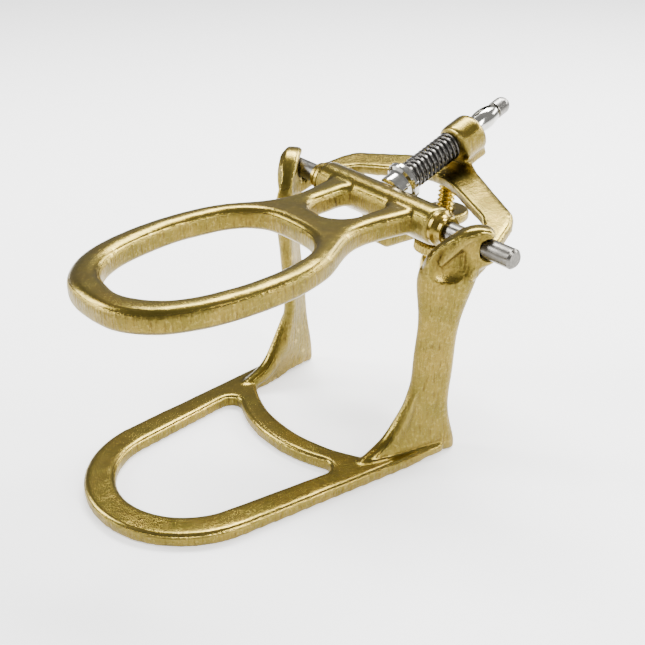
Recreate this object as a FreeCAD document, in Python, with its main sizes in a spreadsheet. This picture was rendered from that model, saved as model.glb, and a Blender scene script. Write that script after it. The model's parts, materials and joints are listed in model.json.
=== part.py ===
import FreeCAD, Part
import math
import os
import Sketcher
from FreeCAD import Placement, Rotation, Vector

# Dental articulator of the free-plane hinge kind.
# Frame: +X to the wearer's side that the axle sticks out of, +Y from the bow to the hinge, +Z up.
# The origin is the middle of the lower crossbar, on the bench.

SIZES = {
    # lower frame
    "bow_thickness": 3.4,
    "rail_width": 7.8,
    "bow_inner_radius": 18.8,
    "bow_reach": 45.8,
    "rail_flare": 7.5,
    "outer_flare": 5.6,
    "crossbar_front": 2.9,
    "crossbar_back": 3.6,
    "crossbar_sweep": 7.2,
    "bow_round": 1.25,
    "hinge_back": 35.0,
    "hinge_height": 59.4,
    "hook_offset": 36.5,
    "hook_thickness": 4.8,
    "hook_turn": 40.0,
    "hook_round": 1.3,
    "scoop_radius": 7.5,
    "scoop_forward": 8.6,
    "scoop_outside": 2.1,
    "scoop_inside": 1.0,
    "slot_radius": 2.56,
    "slot_length": 14.0,
    "yoke_tilt": 17.0,
    "yoke_drop": 4.6,
    "yoke_thickness": 3.2,
    "relief_radius": 20.0,
    "relief_depth": 0.8,
    # plunger, along its own axis from the hinge
    "plunger_tilt": 20.5,
    "plunger_lift": 0.9,
    "boss_start": 27.0,
    "boss_length": 8.4,
    "boss_radius": 5.5,
    "boss_neck": 3.4,
    "boss_drop": 1.0,
    "boss_foot": 7.6,
    "boss_round": 1.4,
    "boss_bore": 2.36,
    "head_start": 3.9,
    "head_end": 9.5,
    "head_radius": 5.3,
    "head_neck": 3.9,
    "pin_radius": 2.3,
    "core_radius": 1.1,
    "spring_radius": 3.4,
    "wire_radius": 0.42,
    "spring_turns": 11.5,
    "cage_gap": 0.3,
    "cage_length": 8.6,
    "cage_bulge": 2.9,
    "cage_mouth": 1.9,
    "cage_wall": 0.45,
    "cage_slot": 1.1,
    "nose_radius": 2.35,
    "nose_length": 4.8,
    # axle and upper frame
    "axle_radius": 2.5,
    "axle_left": 39.4,
    "axle_right": 46.0,
    "axle_chamfer": 0.6,
    "bore_radius": 2.54,
    "barrel_radius": 4.9,
    "barrel_half": 21.5,
    "bush_flange": 4.5,
    "bush_radius": 3.6,
    "bush_depth": 8.0,
    "ring_height": 6.0,
    "ring_tilt": 2.0,
    "ring_lift": 0.6,
    "ring_round": 2.6,
    "ring_under_round": 1.3,
    "tab_radius": 6.2,
    "tab_root": 5.2,
    "tab_top": 8.0,
    "tab_thickness": 3.0,
    "lug_radius": 4.8,
    "lug_length": 5.6,
    # stop screw and its nut
    "screw_back": 24.6,
    "screw_tilt": 6.0,
    "screw_radius": 2.45,
    "screw_hole": 2.52,
    "screw_top": -0.12,
    "screw_shank": 21.3,
    "knob_radius": 4.8,
    "knob_length": 7.5,
    "nut_radius": 7.2,
    "nut_thickness": 3.4,
    "nut_top": 17.0,
}

doc = FreeCAD.newDocument("articulator")
sheet = doc.addObject("Spreadsheet::Sheet", "sizes")


def fill_sheet():
    """Put every driving size in its own named cell."""
    for row, (alias, value) in enumerate(SIZES.items(), start=1):
        sheet.set(f"A{row}", alias)
        sheet.set(f"B{row}", str(value))
        sheet.setAlias(f"B{row}", alias)
    doc.recompute()


def size(alias):
    """Read one driving size."""
    return float(sheet.get(alias))


def bind(item, **formulas):
    """Drive an object's properties from the sheet; aliases are written as words."""
    for prop, formula in formulas.items():
        item.setExpression(prop, with_sheet(formula))


def with_sheet(formula):
    """Put the sheet's name before every alias in a formula."""
    words = []
    for word in formula.replace("(", "( ").replace(")", " )").split(" "):
        words.append(f"sizes.{word}" if word in SIZES else word)
    return " ".join(words)


def plane_of(body, role):
    """Find one of a body's own origin planes."""
    return next(p for p in body.Origin.OriginFeatures if p.Role == role)


def sketch_on(body, name, role="XY_Plane"):
    """Start a sketch on a body's own origin plane."""
    sketch = body.newObject("Sketcher::SketchObject", name)
    sketch.AttachmentSupport = (plane_of(body, role), [""])
    sketch.MapMode = "FlatFace"
    return sketch


def add_loop(sketch, curves):
    """Add a closed chain of curves and tie the ends that meet."""
    added = list(sketch.addGeometry(curves, False))
    for this, following in zip(added, added[1:] + added[:1]):
        pairs = [(a, b) for a in (1, 2) for b in (1, 2)]
        near = min(pairs, key=lambda ends: gap(sketch, this, ends[0], following, ends[1]))
        sketch.addConstraint(
            Sketcher.Constraint("Coincident", this, near[0], following, near[1])
        )


def gap(sketch, one, one_end, other, other_end):
    """Distance between an end of one curve and an end of another."""
    return sketch.getPoint(one, one_end).distanceToPoint(sketch.getPoint(other, other_end))


def polyline(points):
    """Line segments through the points, closed."""
    ends = points[1:] + points[:1]
    return [Part.LineSegment(Vector(*a, 0), Vector(*b, 0)) for a, b in zip(points, ends)]


def mirrored(points):
    """A half outline and its mirror image across the Y axis, end to end."""
    return points + [(-x, y) for x, y in reversed(points) if abs(x) > 1e-9]


def arc(start, middle, end):
    """Arc through three plan points."""
    return Part.Arc(Vector(*start, 0), Vector(*middle, 0), Vector(*end, 0))


def line(start, end):
    """Line between two plan points."""
    return Part.LineSegment(Vector(*start, 0), Vector(*end, 0))


def pad(body, name, sketch, length, midplane=False):
    """Pad a sketch by a sheet formula."""
    feature = body.newObject("PartDesign::Pad", name)
    feature.Profile = sketch
    feature.Midplane = midplane
    bind(feature, Length=length)
    doc.recompute()
    return feature


def revolve(body, name, sketch, axis="H_Axis"):
    """Turn a sketch fully about one of its own axes."""
    feature = body.newObject("PartDesign::Revolution", name)
    feature.Profile = sketch
    feature.ReferenceAxis = (sketch, [axis])
    feature.Angle = 360
    doc.recompute()
    return feature


def edges_where(feature, test):
    """Names of the edges whose middle passes the test."""
    names = []
    for number, edge in enumerate(feature.Shape.Edges, start=1):
        middle = edge.valueAt((edge.FirstParameter + edge.LastParameter) / 2)
        if test(middle, edge):
            names.append(f"Edge{number}")
    return names


def fillet(body, name, feature, names, radius):
    """Round some edges of a feature."""
    item = body.newObject("PartDesign::Fillet", name)
    item.Base = (feature, names)
    bind(item, Radius=radius)
    doc.recompute()
    return item


def new_body(name):
    """Start a body."""
    body = doc.addObject("PartDesign::Body", name)
    body.Label = name
    return body


def combine(kind, name, items):
    """Fuse a list of objects, or cut the rest from the first."""
    result = items[0]
    if kind == "fuse":
        result = doc.addObject("Part::MultiFuse", name)
        result.Shapes = items
        result.Refine = False
    else:
        for number, tool in enumerate(items[1:], start=1):
            cut = doc.addObject("Part::Cut", f"{name}_{number}")
            cut.Base = result
            cut.Tool = tool
            cut.Refine = False
            result = cut
    result.Label = name
    doc.recompute()
    return result


def flipped(source, name):
    """Mirror image of an object across the middle plane."""
    copy = doc.addObject("Part::Mirroring", name)
    copy.Source = source
    copy.Base = Vector(0, 0, 0)
    copy.Normal = Vector(1, 0, 0)
    doc.recompute()
    return copy


def hinge_point(back=0.0, up=0.0, side=0.0):
    """A point measured from the hinge axis at rest."""
    return Vector(side, size("hinge_back") + back, size("hinge_height") + up)


def plunger_place(along=0.0):
    """Placement with local +Z running back along the plunger."""
    tilt = math.radians(size("plunger_tilt"))
    lift = size("plunger_lift")
    base = hinge_point(-lift * math.sin(tilt), lift * math.cos(tilt))
    axis = Vector(0, math.cos(tilt), math.sin(tilt))
    return Placement(base + axis * along, Rotation(Vector(0, 0, 1), axis))


# ---------------------------------------------------------------- lower frame


def make_bow():
    """Flat wishbone bow with its arched crossbar and two flared rails."""
    inner = size("bow_inner_radius")
    width = size("rail_width")
    front = inner - size("bow_reach")
    outer = inner + width
    flares = {
        inner: math.radians(size("rail_flare")),
        outer: math.radians(size("outer_flare")),
    }
    sweep = size("crossbar_sweep")

    def tangent(radius, side):
        flare = flares[radius]
        return (side * radius * math.cos(flare), front - radius * math.sin(flare))

    def rail_x(radius, y):
        start = tangent(radius, 1)
        return start[0] + (y - start[1]) * math.tan(flares[radius])

    tail = size("hinge_back") - 5.0
    bar_front_y = sweep - size("crossbar_front")
    bar_back_y = sweep + size("crossbar_back")
    body = new_body("bow_blank")
    sketch = sketch_on(body, "bow_outline")
    outer_end = (rail_x(outer, tail), tail)
    inner_end = (rail_x(inner, tail), tail)
    bar_back = (rail_x(inner, bar_back_y), bar_back_y)
    add_loop(sketch, [
        arc(tangent(outer, -1), (0, front - outer), tangent(outer, 1)),
        line(tangent(outer, 1), outer_end),
        line(outer_end, inner_end),
        line(inner_end, bar_back),
        arc(bar_back, (0, size("crossbar_back")), (-bar_back[0], bar_back[1])),
        line((-bar_back[0], bar_back[1]), (-inner_end[0], tail)),
        line((-inner_end[0], tail), (-outer_end[0], tail)),
        line((-outer_end[0], tail), tangent(outer, -1)),
    ])
    bar_front = (rail_x(inner, bar_front_y), bar_front_y)
    add_loop(sketch, [
        arc(tangent(inner, -1), (0, front - inner), tangent(inner, 1)),
        line(tangent(inner, 1), bar_front),
        arc(bar_front, (0, -size("crossbar_front")), (-bar_front[0], bar_front[1])),
        line((-bar_front[0], bar_front[1]), tangent(inner, -1)),
    ])
    blank = pad(body, "bow_pad", sketch, "bow_thickness")
    corners = edges_where(
        blank,
        lambda m, e: abs(m.z - size("bow_thickness") / 2) < 0.01 and abs(m.y) < 16,
    )
    eased = fillet(body, "bow_corners", blank, corners, "bow_round * 2.5")
    top = edges_where(
        eased, lambda m, e: m.z > size("bow_thickness") - 0.01 and m.y < tail - 1
    )
    fillet(body, "bow_top_round", eased, top, "bow_round")
    return body


# Each level of an upright: height, middle x, middle back from the hinge, turn, length, thickness.
UPRIGHT_LEVELS = [
    (0.0, 28.0, -11.4, 10.0, 24.0, 4.4),
    (3.4, 27.8, -11.0, 11.0, 22.8, 4.4),
    (8.0, 27.3, -9.0, 15.0, 17.0, 4.0),
    (13.0, 27.3, -7.9, 20.0, 13.2, 3.6),
    (20.0, 27.8, -6.9, 27.0, 10.8, 3.4),
    (30.0, 28.7, -6.9, 31.0, 10.4, 3.5),
    (42.0, 30.1, -7.0, 36.0, 11.2, 4.0),
    (48.0, 30.8, -6.9, 39.0, 13.4, 4.6),
    (54.0, 31.4, -6.3, 40.0, 14.0, 4.8),
]


def level_sketch(number, level):
    """Round-ended section of an upright at one height."""
    height, middle, back, turn, length, thickness = level
    radius = thickness / 2
    reach = length / 2 - radius
    sketch = doc.addObject("Sketcher::SketchObject", f"upright_level_{number}")
    sketch.addGeometry([
        line((-reach, -radius), (reach, -radius)),
        Part.ArcOfCircle(
            Part.Circle(Vector(reach, 0, 0), Vector(0, 0, 1), radius),
            -math.pi / 2, math.pi / 2,
        ),
        line((reach, radius), (-reach, radius)),
        Part.ArcOfCircle(
            Part.Circle(Vector(-reach, 0, 0), Vector(0, 0, 1), radius),
            math.pi / 2, 3 * math.pi / 2,
        ),
    ], False)
    for i in range(4):
        sketch.addConstraint(Sketcher.Constraint("Tangent", i, 2, (i + 1) % 4, 1))
    sketch.addConstraint(Sketcher.Constraint("Radius", 1, radius))
    sketch.Placement = Placement(
        Vector(middle, size("hinge_back") + back, height),
        Rotation(Vector(0, 0, 1), 90 - turn),
    )
    return sketch


def make_upright():
    """Right-hand upright plate, twisting and leaning out as it rises."""
    loft = doc.addObject("Part::Loft", "upright_blank")
    loft.Sections = [level_sketch(n, level) for n, level in enumerate(UPRIGHT_LEVELS)]
    loft.Solid = True
    loft.Ruled = False
    doc.recompute()
    return loft


# Hook outline in the plate's own plane: distance back and up from the hinge axis.
HOOK_CURL = [
    (-14.4, -9.4), (-14.5, -5.6), (-12.6, -1.6), (-8.8, 2.0),
    (-4.6, 4.7), (-0.8, 5.3), (2.0, 4.1), (2.3, 2.2),
]
HOOK_BACK = [(2.3, -3.6), (-1.0, -5.4), (-2.9, -9.4)]


def make_hook():
    """Right-hand hook, which curls back over the axle."""
    body = new_body("hook_blank")
    sketch = sketch_on(body, "hook_outline", "XZ_Plane")
    curl = Part.BSplineCurve()
    curl.interpolate([Vector(x, z, 0) for x, z in HOOK_CURL])
    stops = [HOOK_CURL[-1]] + HOOK_BACK + [HOOK_CURL[0]]
    add_loop(sketch, [curl] + [line(a, b) for a, b in zip(stops, stops[1:])])
    blank = pad(body, "hook_pad", sketch, "hook_thickness", midplane=True)
    rim = edges_where(
        blank,
        lambda m, e: abs(abs(m.y) - size("hook_thickness") / 2) < 0.01 and m.z > -9.3,
    )
    fillet(body, "hook_round_edges", blank, rim, "hook_round")
    body.Placement = Placement(
        hinge_point(side=size("hook_offset")),
        Rotation(Vector(0, 0, 1), 90 - size("hook_turn")),
    )
    return body


def make_scoop(name, face):
    """Ball that scoops a shallow dish out of one face of the hook."""
    ball = doc.addObject("Part::Sphere", name)
    bind(ball, Radius="scoop_radius")
    turn = math.radians(size("hook_turn"))
    depth = size("scoop_outside" if face > 0 else "scoop_inside")
    away = size("hook_thickness") / 2 + size("scoop_radius") - depth
    along = -size("scoop_forward")
    back = along * math.cos(turn) - face * away * math.sin(turn)
    side = size("hook_offset") + along * math.sin(turn) + face * away * math.cos(turn)
    ball.Placement = Placement(hinge_point(back, -3.4, side), Rotation())
    doc.recompute()
    return ball


# Half outline of the yoke in plan: distance to the side and back from the hinge axis.
YOKE_OUTER = [(37.5, -4.5), (36.0, 4.0), (32.0, 15.0), (29.6, 18.2), (8.0, 27.6), (4.0, 30.0)]
YOKE_INNER = [(3.0, 20.6), (9.3, 18.6), (23.5, 13.2), (30.8, 7.0), (31.8, -4.5)]


def make_yoke():
    """Six-sided bar behind the hinge that joins both uprights."""
    lean = math.cos(math.radians(size("yoke_tilt")))
    body = new_body("yoke_blank")
    sketch = sketch_on(body, "yoke_outline")
    right = [(x, y / lean) for x, y in YOKE_OUTER]
    inside = [(x, y / lean) for x, y in YOKE_INNER]
    outline = right + [(-x, y) for x, y in reversed(right)]
    outline += [(-x, y) for x, y in reversed(inside)] + inside
    add_loop(sketch, polyline(outline))
    blank = pad(body, "yoke_pad", sketch, "yoke_thickness")
    uprights = edges_where(
        blank,
        lambda m, e: abs(m.z - size("yoke_thickness") / 2) < 0.01 and m.y > 8,
    )
    eased = fillet(body, "yoke_corners", blank, uprights, "bow_round * 1.6")
    faces = edges_where(
        eased, lambda m, e: m.z > size("yoke_thickness") - 0.01 and m.y > 3
    )
    fillet(body, "yoke_round", eased, faces, "bow_round * 0.8")
    drop = size("yoke_drop") + size("yoke_thickness") - 1.2
    body.Placement = Placement(
        hinge_point(up=-drop), Rotation(Vector(1, 0, 0), size("yoke_tilt"))
    )
    return body


def make_slot():
    """Cutter for the slot that the axle lies in, open to the rear."""
    body = new_body("slot_tool")
    sketch = sketch_on(body, "slot_outline", "YZ_Plane")
    radius = size("slot_radius")
    end = size("slot_length")
    add_loop(sketch, [
        arc((0, radius), (-radius, 0), (0, -radius)),
        line((0, -radius), (end, -radius)),
        line((end, -radius), (end, radius)),
        line((end, radius), (0, radius)),
    ])
    pad(body, "slot_pad", sketch, "axle_right * 2", midplane=True)
    body.Placement = Placement(
        hinge_point(), Rotation(Vector(1, 0, 0), size("plunger_tilt"))
    )
    return body


def make_relief():
    """Roller that hollows the underside between each heel and its rail."""
    roller = doc.addObject("Part::Cylinder", "relief_tool")
    bind(roller, Radius="relief_radius", Height="axle_right * 2")
    below = size("relief_radius") - size("relief_depth")
    roller.Placement = Placement(
        Vector(-size("axle_right"), size("hinge_back") - 8.0, -below),
        Rotation(Vector(0, 1, 0), 90),
    )
    doc.recompute()
    return roller


def make_lower_frame(yoke):
    """The lower casting: bow, uprights, hooks and yoke in one."""
    upright = make_upright()
    hook = make_hook()
    solids = [make_bow(), upright, flipped(upright, "upright_left")]
    solids += [hook, flipped(hook, "hook_left"), yoke]
    casting = combine("fuse", "lower_casting", solids)
    scoops = [make_scoop("scoop_outside", 1), make_scoop("scoop_inside", -1)]
    scoops += [flipped(ball, ball.Name + "_left") for ball in scoops]
    return combine("cut", "lower_frame", [casting, make_slot(), make_relief()] + scoops)


def make_boss(yoke):
    """Turned eye on the yoke's apex that guides the plunger."""
    body = new_body("boss_blank")
    sketch = sketch_on(body, "boss_outline")
    radius = size("boss_radius")
    foot = -size("boss_foot")
    neck = size("boss_neck")
    drop = size("boss_drop")
    hip = -drop - math.sqrt(radius ** 2 - neck ** 2)
    add_loop(sketch, [
        arc((neck, hip), (0, radius - drop), (-neck, hip)),
        line((-neck, hip), (-neck, foot)),
        line((-neck, foot), (neck, foot)),
        line((neck, foot), (neck, hip)),
    ])
    blank = pad(body, "boss_pad", sketch, "boss_length")
    rims = edges_where(
        blank,
        lambda m, e: m.y > hip + 0.1 and abs(m.z - size("boss_length") / 2) > 1,
    )
    fillet(body, "boss_rims", blank, rims, "boss_round")
    bore = doc.addObject("Part::Cylinder", "boss_bore_tool")
    bind(bore, Radius="boss_bore", Height="boss_length * 2")
    spin = Rotation(Vector(0, 0, 1), 180)
    body.Placement = plunger_place(size("boss_start")).multiply(Placement(Vector(), spin))
    bore.Placement = plunger_place(size("boss_start") - size("boss_length") / 2)
    doc.recompute()
    return combine("cut", "plunger_boss", [body, bore, yoke])


# ---------------------------------------------------------------- plunger


def turned(name, profile, place):
    """A turned piece: radius and length pairs, revolved about the local Z axis."""
    body = new_body(name)
    sketch = sketch_on(body, name + "_profile", "XZ_Plane")
    add_loop(sketch, polyline(profile))
    revolve(body, name + "_turned", sketch, "V_Axis")
    body.Placement = place
    return body


def make_head():
    """Plunger head, hollowed across its face to sit on the barrel."""
    start = size("head_start")
    end = size("head_end")
    radius = size("head_radius")
    neck = size("head_neck")
    blank = turned(
        "head_blank",
        [
            (0, start), (neck - 0.2, start), (neck, start + 0.3),
            (neck, end - 2.9), (neck + 0.3, end - 2.1), (radius - 0.3, end - 1.6),
            (radius, end - 1.2), (radius, end - 0.4), (radius - 0.4, end), (0, end),
        ],
        plunger_place(),
    )
    groove = doc.addObject("Part::Cylinder", "groove_tool")
    bind(groove, Radius="barrel_radius + 0.06", Height="axle_right * 2")
    groove.Placement = Placement(
        hinge_point(side=-size("axle_right")), Rotation(Vector(0, 1, 0), 90)
    )
    doc.recompute()
    return combine("cut", "plunger_head", [blank, groove])


def tail_start():
    """Where the leaf cage begins along the plunger."""
    return size("boss_start") + size("boss_length") + size("cage_gap")


def make_pin():
    """Plunger pin with its thin core and round nose."""
    radius = size("pin_radius")
    core = size("core_radius")
    nose = size("nose_radius")
    cage_end = tail_start() + size("cage_length")
    tip = cage_end + size("nose_length")
    body = new_body("plunger_pin")
    sketch = sketch_on(body, "pin_profile", "XZ_Plane")
    shoulder = tail_start()
    stops = [
        (0, size("head_end")), (radius, size("head_end")), (radius, shoulder),
        (core, shoulder), (core, cage_end), (nose, cage_end), (nose, tip - nose),
    ]
    bend = nose * math.sqrt(0.5)
    add_loop(sketch, [line(a, b) for a, b in zip(stops, stops[1:])] + [
        arc((nose, tip - nose), (bend, tip - nose + bend), (0, tip)),
        line((0, tip), stops[0]),
    ])
    revolve(body, "pin_turned", sketch, "V_Axis")
    body.Placement = plunger_place()
    return body


def make_cage():
    """Bulged sleeve of four springy leaves round the pin's core."""
    start = tail_start() + 0.05
    end = start + size("cage_length") - 0.1
    wall = size("cage_wall")
    neck = size("pin_radius")
    nose = size("cage_mouth")
    bulge = size("cage_bulge")
    middle = (start + end) / 2
    body = new_body("leaf_cage")
    sketch = sketch_on(body, "cage_profile", "XZ_Plane")
    add_loop(sketch, [
        arc((neck, start), (bulge, middle), (nose, end)),
        line((nose, end), (nose - wall, end)),
        arc((nose - wall, end), (bulge - wall, middle), (neck - wall, start)),
        line((neck - wall, start), (neck, start)),
    ])
    revolve(body, "cage_turned", sketch, "V_Axis")
    slit = sketch_on(body, "slit_outline", "XZ_Plane")
    half = size("cage_slot") / 2
    add_loop(slit, polyline([
        (-half, start + 1.3), (half, start + 1.3), (half, end - 1.0), (-half, end - 1.0),
    ]))
    cut = body.newObject("PartDesign::Pocket", "slits")
    cut.Profile = slit
    cut.Midplane = True
    bind(cut, Length="cage_bulge * 3")
    doc.recompute()
    ring = body.newObject("PartDesign::PolarPattern", "slit_pairs")
    ring.Originals = [cut]
    ring.Axis = (slit, ["V_Axis"])
    ring.Angle = 180
    ring.Occurrences = 2
    body.Tip = ring
    doc.recompute()
    body.Placement = plunger_place()
    return body


def make_spring():
    """Coil spring between the head and the boss."""
    wire = size("wire_radius")
    start = size("head_end") + wire + 0.05
    length = size("boss_start") - start - wire - 0.05
    helix = doc.addObject("Part::Helix", "spring_path")
    helix.Radius = size("spring_radius")
    helix.Pitch = length / size("spring_turns")
    helix.Height = length
    ring = doc.addObject("Part::Circle", "spring_wire")
    bind(ring, Radius="wire_radius")
    ring.Placement = Placement(
        Vector(size("spring_radius"), 0, 0), Rotation(Vector(1, 0, 0), 90)
    )
    doc.recompute()
    coil = doc.addObject("Part::Sweep", "plunger_spring")
    coil.Sections = [ring]
    coil.Spine = (helix, ["Edge1"])
    coil.Solid = True
    coil.Frenet = True
    coil.Label = "plunger_spring"
    coil.Placement = plunger_place(start)
    doc.recompute()
    return coil


# ---------------------------------------------------------------- hinge and upper frame


# The upper frame is shaped about its own hinge axis and put in place at the end.


def sideways(side=0.0):
    """Placement about the hinge axis with local +Z running along +X."""
    return Placement(Vector(side, 0, 0), Rotation(Vector(0, 1, 0), 90))


def at_hinge(place=Placement()):
    """Carry a placement about the hinge axis to the hinge at rest."""
    return Placement(hinge_point(), Rotation()).multiply(place)


def make_axle():
    """Steel cross axle with chamfered ends."""
    radius = size("axle_radius")
    cut = size("axle_chamfer")
    left = -size("axle_left")
    right = size("axle_right")
    return turned(
        "hinge_axle",
        [
            (0, left), (radius - cut, left), (radius, left + cut),
            (radius, right - cut), (radius - cut, right), (0, right),
        ],
        at_hinge(sideways()),
    )


def make_bush(name, side):
    """Flanged bush in one end of the barrel."""
    bore = size("bore_radius")
    sleeve = size("bush_radius")
    flange = size("bush_flange")
    face = size("barrel_half")
    body = turned(
        name,
        [
            (bore, face - size("bush_depth")), (sleeve, face - size("bush_depth")),
            (sleeve, face), (flange, face), (flange, face + 0.9),
            (flange - 0.6, face + 1.6), (flange - 0.9, face + 2.4),
            (flange - 0.9, face + 3.3), (flange - 1.2, face + 3.6), (bore, face + 3.6),
        ],
        at_hinge(sideways()),
    )
    if side < 0:
        flip = Placement(Vector(), Rotation(Vector(1, 0, 0), 180))
        body.Placement = at_hinge(sideways()).multiply(flip)
    return body


# Half outlines of the upper frame in plan: distance to the side and back from the hinge axis.
RING_OUTER = [
    (0, -86.6), (9.7, -85.1), (18.2, -78.3), (23.3, -66.0), (24.6, -52.2),
    (23.5, -41.6), (20.3, -32.5), (16.4, -26.0), (14.2, -20.0), (14.7, -12.0),
    (16.4, -4.0), (17.0, 1.7),
]
RING_INNER = [
    (0, -79.0), (7.5, -77.6), (13.6, -72.0), (17.0, -63.0), (18.2, -52.0),
    (17.1, -42.0), (14.7, -35.2), (10.2, -31.0), (5.0, -29.6), (0, -29.4),
]
WINDOW = [
    (0, -20.3), (4.0, -19.8), (7.0, -16.6), (7.5, -11.0), (7.3, -6.2), (5.4, -4.1), (0, -3.7),
]


def closed_spline(points):
    """Smooth closed curve through a half outline and its mirror image."""
    curve = Part.BSplineCurve()
    full = mirrored(points)
    curve.interpolate([Vector(x, y, 0) for x, y in full], PeriodicFlag=True)
    return curve


def open_spline(points):
    """Smooth curve through the points, from the first to the last."""
    curve = Part.BSplineCurve()
    curve.interpolate([Vector(x, y, 0) for x, y in points])
    return curve


def make_ring():
    """Oval bow, crossbar and arms of the upper frame, up to the barrel."""
    body = new_body("ring_blank")
    sketch = sketch_on(body, "ring_outline")
    edge = RING_OUTER[-1]
    outline = [(-x, y) for x, y in reversed(RING_OUTER)] + RING_OUTER[1:]
    add_loop(sketch, [open_spline(outline), line(edge, (-edge[0], edge[1]))])
    sketch.addGeometry([closed_spline(RING_INNER), closed_spline(WINDOW)], False)
    tilt = Rotation(Vector(1, 0, 0), size("ring_tilt"))
    sketch.AttachmentOffset = Placement(Vector(0, 0, size("ring_lift")), tilt)
    blank = pad(body, "ring_pad", sketch, "ring_height", midplane=True)
    half = size("ring_height") / 2

    def level(point):
        return tilt.inverted().multVec(point - Vector(0, 0, size("ring_lift")))

    top = edges_where(
        blank, lambda m, e: level(m).z > half - 0.01 and level(m).y < -1
    )
    rounded = fillet(body, "ring_top_round", blank, top, "ring_round")
    under = edges_where(
        rounded, lambda m, e: level(m).z < 0.01 - half and level(m).y < -1
    )
    fillet(body, "ring_under_edges", rounded, under, "ring_under_round")
    return body


def make_barrel():
    """Barrel that the arms run into, bored for the axle and its bushes."""
    radius = size("barrel_radius")
    half = size("barrel_half")
    return turned(
        "barrel_blank",
        [
            (0, -half), (radius - 0.6, -half), (radius, 0.6 - half),
            (radius, half - 0.6), (radius - 0.6, half), (0, half),
        ],
        sideways(),
    )


def make_tab():
    """Stop tab behind the barrel, with a lug for the stop screw's thread."""
    radius = size("tab_radius")
    back = size("screw_back")
    body = new_body("tab_blank")
    sketch = sketch_on(body, "tab_outline")
    front = -2.0
    root = size("tab_root")
    add_loop(sketch, [
        line((-root, front), (root, front)),
        line((root, front), (radius, back - 6.0)),
        line((radius, back - 6.0), (radius, back)),
        arc((radius, back), (0, back + radius), (-radius, back)),
        line((-radius, back), (-radius, back - 6.0)),
        line((-radius, back - 6.0), (-root, front)),
    ])
    blank = pad(body, "tab_pad", sketch, "tab_thickness")
    rim = edges_where(
        blank, lambda m, e: m.y > 4 and abs(m.z - size("tab_thickness") / 2) > 1
    )
    fillet(body, "tab_round", blank, rim, "bow_round * 0.7")
    floor = size("tab_top") + size("tab_thickness")
    body.Placement = Placement(Vector(0, 0, -floor), Rotation())
    web = doc.addObject("Part::Box", "tab_web")
    bind(web, Length="tab_root * 2", Width="barrel_radius + 1.6", Height="tab_top + 1")
    web.Placement = Placement(Vector(-root, front, 1.0 - floor), Rotation())
    lug = doc.addObject("Part::Cylinder", "tab_lug")
    bind(lug, Radius="lug_radius", Height="lug_length + 1")
    lug.Placement = screw_place(-floor - size("lug_length"))
    doc.recompute()
    return [body, web, lug]


def screw_place(up):
    """Placement about the hinge on the stop screw's axis, with local +Z up it."""
    tilt = math.radians(size("screw_tilt"))
    axis = Vector(0, math.sin(tilt), math.cos(tilt))
    foot = Vector(0, size("screw_back"), 0)
    return Placement(foot + axis * (up / math.cos(tilt)), Rotation(Vector(0, 0, 1), axis))


def make_upper_frame():
    """The upper casting: ring, arms, barrel and stop tab, bored and drilled."""
    casting = combine("fuse", "upper_casting", [make_ring(), make_barrel()] + make_tab())
    bore = doc.addObject("Part::Cylinder", "bore_tool")
    bind(bore, Radius="bore_radius", Height="barrel_half * 2 + 2")
    bore.Placement = sideways(-size("barrel_half") - 1)
    seats = []
    for name, start in (("seat_left", -1), ("seat_right", 1)):
        seat = doc.addObject("Part::Cylinder", name)
        bind(seat, Radius="bush_radius", Height="bush_depth + 1")
        low = size("barrel_half") - size("bush_depth") if start > 0 else -size("barrel_half") - 1
        seat.Placement = sideways(low)
        seats.append(seat)
    hole = doc.addObject("Part::Cylinder", "screw_hole_tool")
    bind(hole, Radius="screw_hole", Height="screw_shank")
    hole.Placement = screw_place(-size("screw_shank"))
    doc.recompute()
    frame = combine("cut", "upper_frame", [casting, bore] + seats + [hole])
    frame.Placement = at_hinge()
    return frame


# ---------------------------------------------------------------- stop screw


def make_stop_screw():
    """Stop screw with its rounded tip and round head."""
    radius = size("screw_radius")
    knob = size("knob_radius")
    length = size("knob_length")
    head = -size("screw_shank")
    low = head - length
    return turned(
        "stop_screw",
        [
            (0, 0), (radius - 1.1, 0), (radius, -1.1), (radius, head), (knob - 1.4, head),
            (knob - 0.4, head - 1.0), (knob, head - 2.6), (knob, low + 2.6),
            (knob - 0.5, low + 1.0), (knob - 1.6, low), (0, low),
        ],
        at_hinge(screw_place(size("screw_top"))),
    )


def make_lock_nut():
    """Round lock nut on the stop screw, under the tab's lug."""
    radius = size("nut_radius")
    bore = size("screw_hole")
    drop = size("nut_thickness")
    return turned(
        "lock_nut",
        [
            (bore, 0), (radius - 0.7, 0), (radius, -0.5), (radius, 0.5 - drop),
            (radius - 0.7, -drop), (bore, -drop),
        ],
        at_hinge(screw_place(-size("nut_top"))),
    )


def check_and_write(pieces):
    """Refuse failed features or bad solids, then write one file per piece."""
    failed = [o.Name for o in doc.Objects if {"Invalid", "Error"} & set(o.State)]
    if failed:
        raise RuntimeError(f"failed features: {failed}")
    for piece in pieces:
        shape = piece.Shape
        if shape.isNull() or not shape.isValid() or not shape.Solids:
            raise RuntimeError(f"bad shape: {piece.Label}")
    os.makedirs("parts", exist_ok=True)
    for piece in pieces:
        box = piece.Shape.BoundBox
        piece.Shape.exportStep(f"parts/{piece.Label}.step")
        print(
            f"{piece.Label:16s} solids {len(piece.Shape.Solids)}"
            f" volume {piece.Shape.Volume:9.2f}"
            f" x {box.XMin:7.2f} {box.XMax:7.2f}"
            f" y {box.YMin:7.2f} {box.YMax:7.2f} z {box.ZMin:7.2f} {box.ZMax:7.2f}"
        )


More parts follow.
